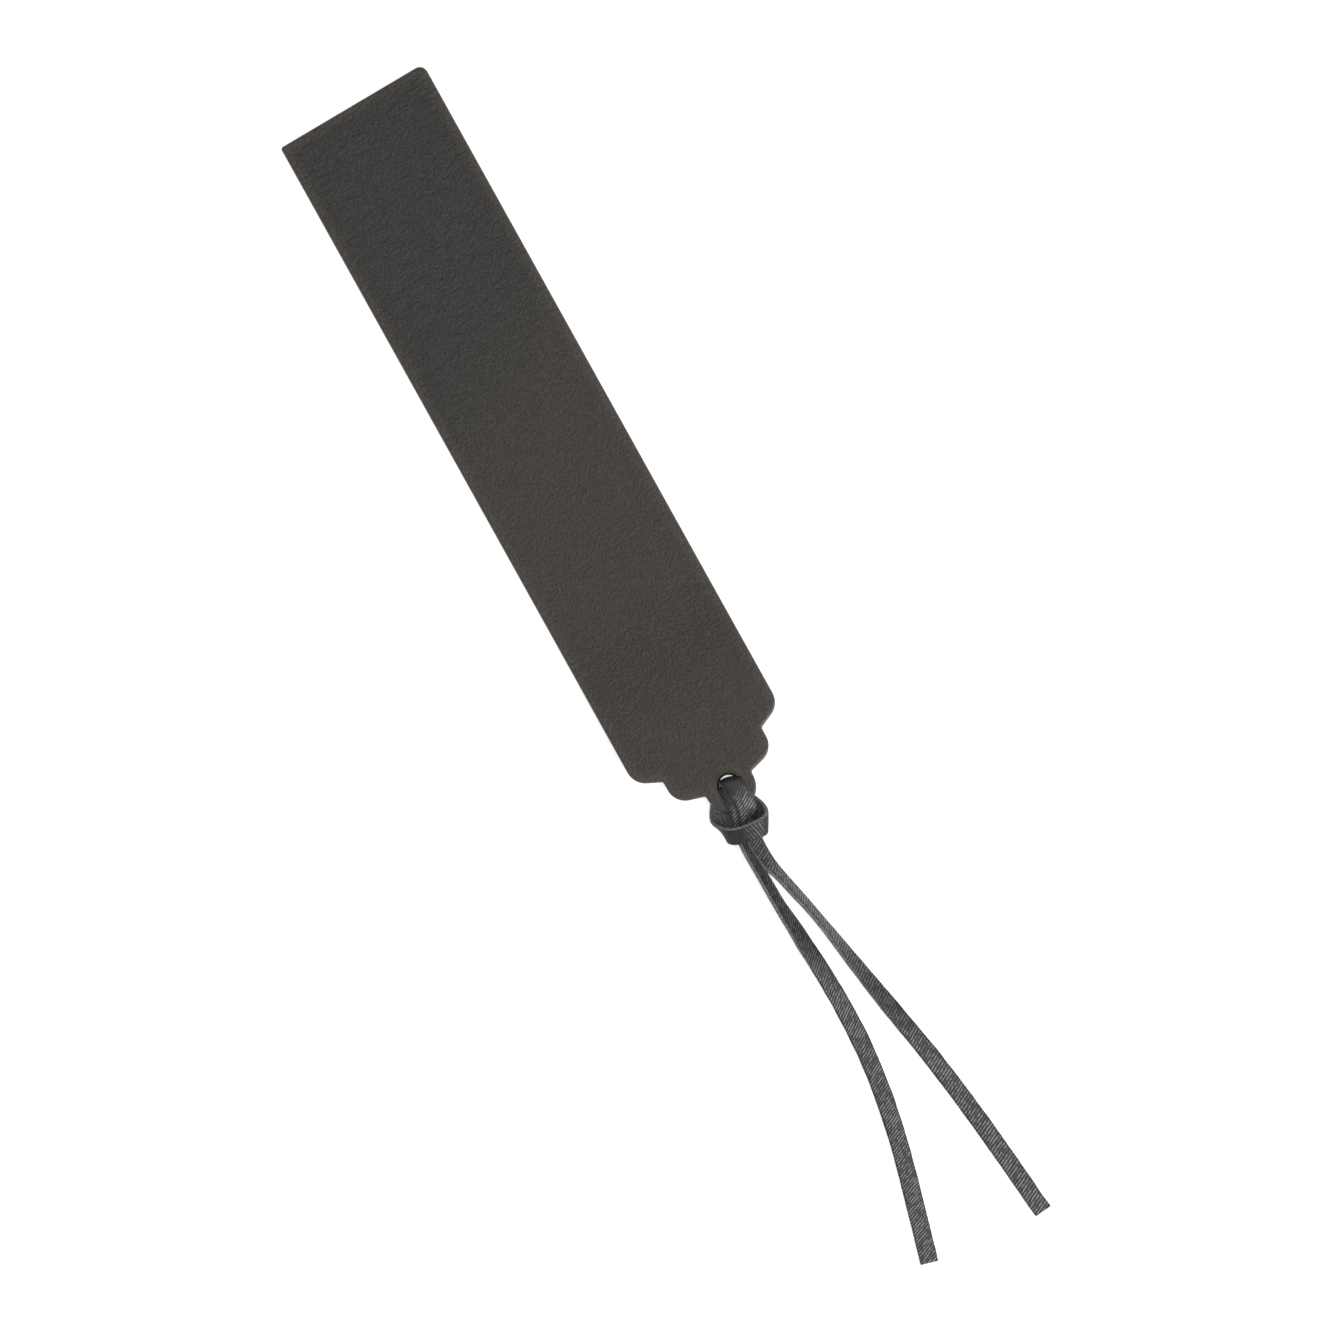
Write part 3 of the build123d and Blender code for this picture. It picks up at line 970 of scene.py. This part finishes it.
def make_lace(name, frames, slants, cut_from, taut=STRAND_TAUT, cup=0):
    """A stretch of lace with a section at each of its frames and a flat cut at both its ends. The
    slants lean its grain, which is pulled smooth where it is taut, and the cup bends its edges
    down where it starts."""
    section = lace_section(cut_from)
    first_slant, last_slant = slants
    taut_place, taut_reach = taut
    mesh = bmesh.new()
    flat_place = mesh.verts.layers.float_vector.new("flat_place")
    bent = mesh.verts.layers.float.new("bend_rate")
    rings = []
    for place, half, grain, length, bend in frames:
        slant = first_slant + (last_slant - first_slant) * min(length / SLANT_REACH, 1)
        lean = tan(radians(slant))
        drop = cup * max(1 - length / CUP_REACH, 0)
        pull = TAUT_PULL * max(1 - abs(length - taut_place) / taut_reach, 0)
        ring = []
        for across, through, _ in section:
            side = 1 if across > 0 else -1
            share = across / LACE_WIDTH * 2
            waver = noise.noise(Vector((side * WAVER_ROW, length / WAVER_LENGTH, 0)))
            fuzz_place = Vector((side * FUZZ_ROW, length / FUZZ_LENGTH, through / FUZZ_DEPTH))
            fuzz = noise.noise(fuzz_place) * FUZZ_SHARE
            reach = share * (1 + EDGE_WAVER * (waver + fuzz) / half.length)
            made = mesh.verts.new(place + half * reach + grain * (through - drop * share**2))
            made[flat_place] = (across, length - across * lean, through)
            made[bent] = bend + pull
            ring.append(made)
        rings.append(ring)
    for ring, after in zip(rings, rings[1:]):
        for index, (_, _, face) in enumerate(section):
            beside = (index + 1) % len(section)
            made = mesh.faces.new((ring[index], ring[beside], after[beside], after[index]))
            made.material_index = face
            made.smooth = True
    ends = []
    for ring in (rings[0][::-1], rings[-1]):
        made = mesh.faces.new(ring)
        made.material_index = CUT
        for side in made.edges:
            side.smooth = False
        ends.append(made)
    bmesh.ops.triangulate(mesh, faces=ends, ngon_method="BEAUTY")
    bmesh.ops.recalc_face_normals(mesh, faces=mesh.faces)
    return new_piece(name, mesh, lace_materials, "lace_leather")


def left_side(roll, width=LACE_WIDTH, turn=0):
    """From the lace's middle to its left edge, lifted by roll degrees and turned by turn degrees."""
    level = -cos(radians(roll))
    way = Vector((level * cos(radians(turn)), level * sin(radians(turn)), sin(radians(roll))))
    return way * width / 2


def half_frames(route):
    """Frames of one half of the lace, from the hole to its cut end. Past the collar it rests on
    the table."""
    points = [Vector(stop[:3]) for stop in route]
    sides = [Vector(stop[:3]) + left_side(*stop[3:]) for stop in route]
    exit_y = joint_places["left_tail_swing"].y
    settled = []
    for place, half, grain, *rates in lace_frames(smooth_line(points), smooth_line(sides), SKEW_REACH):
        rest = abs(half.z) + LACE_THICKNESS / 2 * abs(grain.z)
        # It comes down within its own width on either side of the exit
        share = min(max((exit_y + LACE_WIDTH - place.y) / LACE_WIDTH / 2, 0), 1)
        height = place.z + (rest - place.z) * share
        settled.append((Vector((place.x, place.y, height)), half, grain, *rates))
    return settled


def make_loop():
    """The loop of the hitch: behind the tab, round both sides, and across the front as the collar."""
    middle = smooth_line([(Vector(rim) + Vector(hem)) / 2 for rim, hem in LOOP_EDGES])
    hem_line = smooth_line([Vector(hem) for _, hem in LOOP_EDGES])
    frames = lace_frames(middle, hem_line, LOOP_SKEW_REACH)
    return make_lace("hitch_loop_lace", frames, LOOP_SLANTS, LOOP_CUT, LOOP_TAUT)


strip = make_strip()
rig.ride(strip, "strip")
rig.replaces(strip, "leather_strip")
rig.sheet(strip, flat=FLAT_SIZE, held="laid", area=FLAT_AREA)

loop = make_loop()
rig.ride(loop, "hitch")
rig.replaces(loop, "hitch_loop")

for side, route, length in (("left", LEFT_ROUTE, LEFT_LENGTH), ("right", RIGHT_ROUTE, RIGHT_LENGTH)):
    frames = half_frames(route)
    seam = next(index for index, (place, *_) in enumerate(frames) if place.y < SEAM_Y)
    strand = make_lace(f"{side}_strand_lace", frames[: seam + 1], SLANTS[side], TAIL_CUT, cup=CUP)
    tail = make_lace(f"{side}_tail_lace", frames[seam:], SLANTS[side], TAIL_CUT)
    exit_place = joint_places[f"{side}_tail_swing"]
    bend_place = joint_places[f"{side}_tail_lift"]
    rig.blend(
        strand,
        "hitch",
        f"{side}_neck",
        start=(exit_place.x, SWING_SPAN[0], exit_place.z),
        end=(exit_place.x, SWING_SPAN[1], exit_place.z),
    )
    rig.replaces(strand, f"{side}_strand")
    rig.blend(
        tail,
        f"{side}_neck",
        f"{side}_tail",
        start=(bend_place.x, LIFT_SPAN[0], bend_place.z),
        end=(bend_place.x, LIFT_SPAN[1], bend_place.z),
    )
    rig.replaces(tail, f"{side}_neck", f"{side}_tail")
    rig.cord(
        tail,
        exit=exit_place,
        length=length,
        diameter=LACE_WIDTH,
        far_end="bare",
        stiffness="limp",
        lay="loose",
        path=[place for place, *_ in frames[seam:]],
    )


# Table, lamps and world
TABLE_GLOW = 0.62


def white_table():
    """Matt white paper sweep. It is lit like the rest and keeps the shadow, and it is seen lifted
    to white, by the camera and in whatever mirrors it."""
    material = bpy.data.materials.new("matt_white_paper")
    material.use_nodes = True
    tree = material.node_tree
    tree.nodes.clear()
    output = add_node(tree, "OutputMaterial")
    rays = add_node(tree, "LightPath")
    seen = add_node(
        tree,
        "Math",
        {"operation": "MAXIMUM"},
        links={0: rays.outputs["Is Camera Ray"], 1: rays.outputs["Is Glossy Ray"]},
    )
    seen = add_node(
        tree,
        "Math",
        {"operation": "MAXIMUM"},
        links={0: seen.outputs["Value"], 1: rays.outputs["Is Transmission Ray"]},
    )
    glow = add_node(
        tree,
        "Math",
        {"operation": "MULTIPLY"},
        {1: TABLE_GLOW},
        {0: seen.outputs["Value"]},
    )
    paper = add_node(tree, "BsdfDiffuse", values={"Color": linear("#e8e8e8")})
    white = add_node(
        tree,
        "Emission",
        values={"Color": linear("#ffffff")},
        links={"Strength": glow.outputs["Value"]},
    )
    both = add_node(
        tree,
        "AddShader",
        links={0: paper.outputs["BSDF"], 1: white.outputs["Emission"]},
    )
    tree.links.new(both.outputs["Shader"], output.inputs["Surface"])
    return material


TABLE_SIZE = 6.0
TABLE_DROP = 0.0001
table_mesh = bpy.data.meshes.new("white_table")
half_table = TABLE_SIZE / 2
table_corners = [(-1, -1), (1, -1), (1, 1), (-1, 1)]
table_mesh.from_pydata(
    [(x * half_table, y * half_table, -TABLE_DROP) for x, y in table_corners],
    [],
    [(0, 1, 2, 3)],
)
table_mesh.materials.append(white_table())
table = bpy.data.objects.new("white_table", table_mesh)
bpy.context.scene.collection.objects.link(table)
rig.stage(table)

# Name, the way to the lamp over the table, its elevation, its distance, its size and its watts
LAMPS = [
    ("side_softbox", (0.41, -0.91), 38, 1.5, 0.9, 13.3),
    ("top_softbox", (0.5, 0.5), 88, 2.3, 1.1, 20.0),
]
ROOM_LIGHT = 0.2
for name, (way_x, way_y), elevation, distance, size, power in LAMPS:
    lamp_data = bpy.data.lights.new(name, "AREA")
    lamp_data.size = size
    lamp_data.energy = power
    lamp = bpy.data.objects.new(name, lamp_data)
    level = Vector((way_x, way_y, 0)).normalized() * cos(radians(elevation))
    away = level + Vector((0, 0, sin(radians(elevation))))
    lamp.location = Vector((VIEW_X, VIEW_Y, 0)) + away * distance
    lamp.rotation_euler = away.to_track_quat("Z", "Y").to_euler()
    bpy.context.scene.collection.objects.link(lamp)

world = bpy.data.worlds.new("soft_room")
world.use_nodes = True
world.node_tree.nodes["Background"].inputs["Color"].default_value = linear("#ffffff")
world.node_tree.nodes["Background"].inputs["Strength"].default_value = ROOM_LIGHT
bpy.context.scene.world = world
bpy.context.scene.view_settings.view_transform = "Standard"

bpy.context.view_layer.update()
seen_low, seen_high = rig.bounds()
with open("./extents.json", "w") as sizes:
    boxes = {"cad": [list(cad_low), list(cad_high)], "visual": [list(seen_low), list(seen_high)]}
    json.dump(boxes, sizes)
